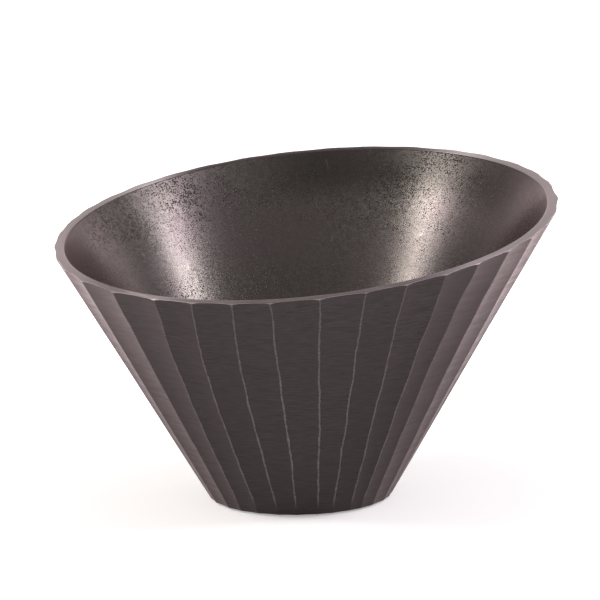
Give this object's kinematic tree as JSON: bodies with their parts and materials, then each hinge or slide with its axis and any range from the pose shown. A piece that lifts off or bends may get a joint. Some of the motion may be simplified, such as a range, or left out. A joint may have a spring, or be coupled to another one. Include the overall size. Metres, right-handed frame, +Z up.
{
  "type": "slanted fluted metal bowl",
  "caption": "Tapered cast metal bowl with a slanted rim, a smooth inside and ground vertical flutes outside, standing on a felt base disc.",
  "frame": {"origin": "the point of the resting plane under the centre of the foot", "axes": "+Z up, +Y towards the side where the rim stands highest, +X to the right of that; YZ is the plane of the slant"},
  "size_m": [0.3026, 0.3044, 0.1937],
  "materials": {
    "bowl_metal": "dark graphite patina, satin, brushed across the flutes, rubbed lighter on ridges and lip, pitted inside",
    "base_felt": "dark grey pressed felt"
  },
  "bodies": {
    "root": {"bowl_casting": "bowl_metal", "felt_disc": "base_felt"}
  },
  "joints": []
}
